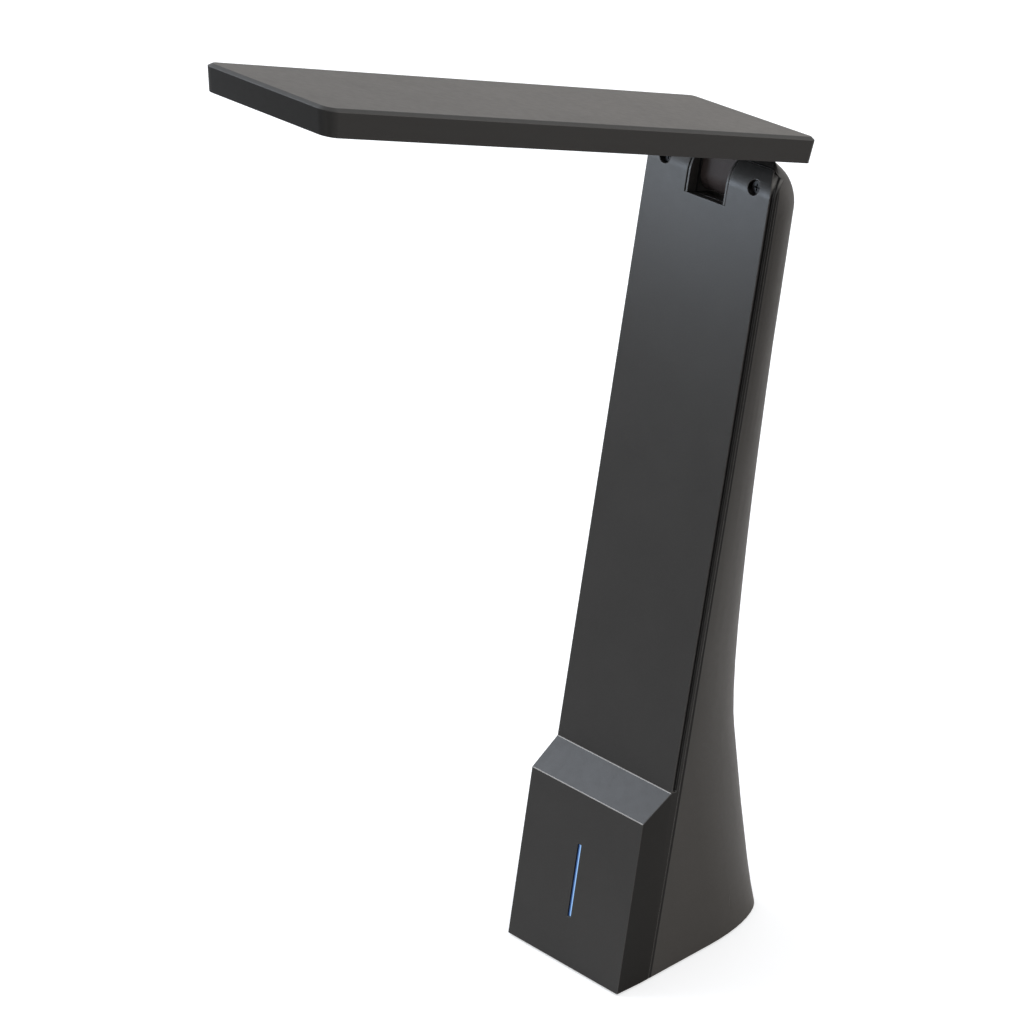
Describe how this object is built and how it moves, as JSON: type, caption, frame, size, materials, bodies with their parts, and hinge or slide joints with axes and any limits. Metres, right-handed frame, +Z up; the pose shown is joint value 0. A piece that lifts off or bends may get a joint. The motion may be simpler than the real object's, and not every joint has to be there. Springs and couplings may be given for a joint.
{
  "type": "led table lamp",
  "caption": "Folding table lamp: a flat light head hinged on a leaning column with a footed base, a touch control with a lit line, and a charging socket at the rear.",
  "frame": {"origin": "on the ground at the centre of the base, in the middle of its width and of its depth", "axes": "+Z up, +Y to the rear, so the head reaches out towards -Y; +X to the right seen from the front"},
  "size_m": [0.0568, 0.1939, 0.341],
  "materials": {
    "cover_coat": "fine satin texture, graphite grey",
    "shell_plastic": "smooth satin, graphite grey",
    "head_coat": "fine satin texture, warm graphite grey",
    "dark_plastic": "fine moulded texture, near black",
    "knuckle_plastic": "smooth, near black",
    "bezel_plastic": "fine moulded texture, dark grey",
    "pad_rubber": "matt, slightly grainy",
    "ballast_iron": "rough",
    "cell_wrap": "shrink film over a metal can",
    "board_green": "solder mask",
    "board_white": "white solder mask",
    "chip_black": "moulded black",
    "copper": "bare copper foil",
    "line_guide": "frosted clear plastic, lit blue",
    "line_led": "blue emitter",
    "socket_steel": "drawn sheet",
    "bracket_steel": "pressed sheet",
    "shaft_steel": "turned",
    "screw_steel": "dark zinc",
    "screw_black": "black oxide",
    "wire_black": "smooth insulation",
    "wire_red": "smooth insulation",
    "washer_plastic": "waxy",
    "diffuser_opal": "opal, finely frosted",
    "guide_clear": "polished clear plastic with printed dots",
    "reflector_white": "white film",
    "led_yellow": "phosphor",
    "foam": "open foam"
  },
  "bodies": {
    "column": {"front_cover": "cover_coat", "rear_shell": "shell_plastic", "base_plate": "dark_plastic", "base_screws": "screw_steel", "foot_pad": "pad_rubber", "ballast": "ballast_iron", "battery_cell": "cell_wrap", "battery_cradle": "dark_plastic", "cradle_screws": "screw_steel", "control_board": "board_green", "board_chips": "chip_black", "board_screws": "screw_steel", "touch_pad": "copper", "touch_contact": "copper", "line_light_guide": "line_guide", "line_leds": "line_led", "charge_socket": "socket_steel", "socket_tongue": "chip_black", "socket_board": "board_green", "socket_screws": "screw_steel", "cover_screws": "screw_black", "hinge_bracket_left": "bracket_steel", "hinge_bracket_right": "bracket_steel", "bracket_screws": "screw_steel", "column_wire": "wire_black", "battery_wires": "wire_red", "charge_wire": "wire_black"},
    "head": {"hinge_shaft": "shaft_steel", "hinge_knuckle": "knuckle_plastic", "knuckle_screws": "screw_steel", "friction_washers": "washer_plastic", "disc_springs": "shaft_steel", "shaft_nuts": "shaft_steel", "head_cover": "head_coat", "head_bezel": "bezel_plastic", "bezel_screws": "screw_steel", "diffuser": "diffuser_opal", "light_guide": "guide_clear", "reflector": "reflector_white", "led_boards": "board_white", "head_leds": "led_yellow", "foam_strips": "foam", "head_wires": "wire_black"}
  },
  "joints": [
    {"name": "head_fold", "type": "hinge", "parent": "column", "child": "head", "pos_m": [0, 0.05015, 0.25732], "axis": [1, 0, 0], "range_deg": [-85.35, 94.65]}
  ]
}
